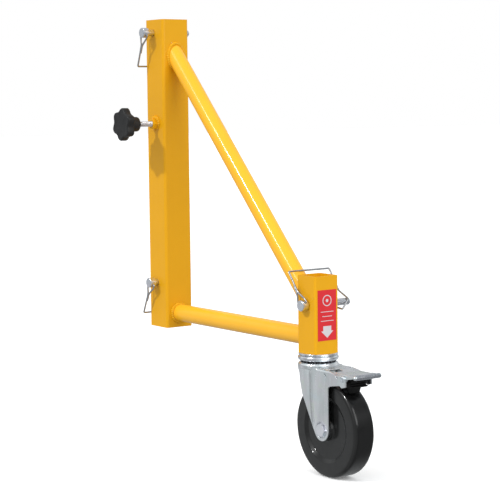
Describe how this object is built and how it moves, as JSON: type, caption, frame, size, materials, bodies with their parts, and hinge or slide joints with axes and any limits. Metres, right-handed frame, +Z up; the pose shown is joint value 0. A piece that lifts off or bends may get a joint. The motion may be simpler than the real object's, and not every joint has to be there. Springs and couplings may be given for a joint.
{
  "type": "scaffold outrigger",
  "caption": "Welded steel outrigger for a rolling scaffold: channel post with lock pins and a clamp knob, tube triangle, and a socketed swivel caster with a brake pedal.",
  "frame": {"origin": "centre of the channel post's bottom end", "axes": "+Z up along the post, +X along the arm to the caster, -Y the side of the pin heads and the clamp knob"},
  "size_m": [0.4884, 0.1343, 0.6088],
  "materials": {
    "yellow_paint": "glossy powder coat on steel",
    "label_film": "printed vinyl",
    "pin_zinc": "zinc plated, turned",
    "wire_steel": "drawn spring wire",
    "stud_zinc": "zinc plated thread",
    "knob_plastic": "moulded, fine grain",
    "insert_brass": "machined",
    "caster_zinc": "blue zinc plate on pressed steel",
    "fastener_steel": "zinc plated",
    "ball_steel": "polished",
    "wheel_rubber": "smooth moulded hard rubber",
    "shoe_plastic": "moulded nylon"
  },
  "bodies": {
    "frame": {"main_post": "yellow_paint", "horizontal_arm": "yellow_paint", "diagonal_brace": "yellow_paint", "caster_socket": "yellow_paint", "clamp_nut": "yellow_paint", "label": "label_film", "caster_stem": "caster_zinc", "stem_plate": "caster_zinc", "upper_raceway": "caster_zinc", "swivel_balls": "ball_steel", "kingpin": "fastener_steel", "lower_balls": "ball_steel", "lower_raceway": "caster_zinc", "kingpin_nut": "fastener_steel"},
    "clamp_screw": {"clamp_stud": "stud_zinc"},
    "knob": {"clamp_knob": "knob_plastic", "knob_insert": "insert_brass"},
    "swivel": {"fork": "caster_zinc", "axle_bolt": "fastener_steel", "axle_nut": "fastener_steel", "axle_sleeve": "fastener_steel", "thrust_washers": "fastener_steel", "pedal_pin": "fastener_steel"},
    "caster_wheel": {"wheel": "wheel_rubber", "hub_bush": "fastener_steel"},
    "brake": {"brake_pedal": "caster_zinc", "brake_shoe": "shoe_plastic"},
    "top_pin": {"top_pin": "pin_zinc"},
    "top_wire": {"top_pin_wire": "wire_steel"},
    "bottom_pin": {"bottom_pin": "pin_zinc"},
    "bottom_wire": {"bottom_pin_wire": "wire_steel"},
    "caster_pin": {"caster_pin": "pin_zinc"},
    "caster_wire": {"caster_pin_wire": "wire_steel"}
  },
  "joints": [
    {"name": "caster_swivel", "type": "hinge", "parent": "frame", "child": "swivel", "pos_m": [0.3556, 0, -0.01], "axis": [0, 0, 1], "continuous": true},
    {"name": "wheel_spin", "type": "hinge", "parent": "swivel", "child": "caster_wheel", "pos_m": [0.3896, 0, -0.0938], "axis": [0, 1, 0], "continuous": true},
    {"name": "brake_press", "type": "hinge", "parent": "swivel", "child": "brake", "pos_m": [0.4341, 0, -0.0215], "axis": [0, 1, 0], "range_deg": [0, 16]},
    {"name": "clamp_advance", "type": "slide", "parent": "frame", "child": "clamp_screw", "axis": [0, 1, 0], "range_m": [-0.0075, 0.02]},
    {"name": "knob_turn", "type": "hinge", "parent": "clamp_screw", "child": "knob", "pos_m": [0, -0.07, 0.3], "axis": [0, 1, 0], "range_deg": [-2170, 5770]},
    {"name": "top_pin_pull", "type": "slide", "parent": "frame", "child": "top_pin", "axis": [0, -1, 0], "range_m": [0, 0.06]},
    {"name": "top_wire_swing", "type": "hinge", "parent": "top_pin", "child": "top_wire", "pos_m": [-0.005, -0.0366, 0.4324], "axis": [0.9272, 0, -0.3746], "range_deg": [-112, 0], "deforming": ["top_pin_wire"]},
    {"name": "bottom_pin_pull", "type": "slide", "parent": "frame", "child": "bottom_pin", "axis": [0, -1, 0], "range_m": [0, 0.056]},
    {"name": "bottom_wire_swing", "type": "hinge", "parent": "bottom_pin", "child": "bottom_wire", "pos_m": [-0.005, -0.0319, 0.066], "axis": [0.9026, 0, -0.4305], "range_deg": [-112, 0], "deforming": ["bottom_pin_wire"]},
    {"name": "caster_pin_pull", "type": "slide", "parent": "frame", "child": "caster_pin", "axis": [0, -1, 0], "range_m": [0, 0.07]},
    {"name": "caster_wire_swing", "type": "hinge", "parent": "caster_pin", "child": "caster_wire", "pos_m": [0.3556, -0.02435, 0.0655], "axis": [-0.809, 0, -0.5878], "range_deg": [-112, 0], "deforming": ["caster_pin_wire"]}
  ],
  "couplings": [
    {"joint": "knob_turn", "follows": "clamp_advance", "rad_per_m": 5026.5},
    {"joint": "top_wire_swing", "follows": "top_pin_pull", "rad_per_m": -32},
    {"joint": "bottom_wire_swing", "follows": "bottom_pin_pull", "rad_per_m": -34},
    {"joint": "caster_wire_swing", "follows": "caster_pin_pull", "rad_per_m": -27.4}
  ]
}
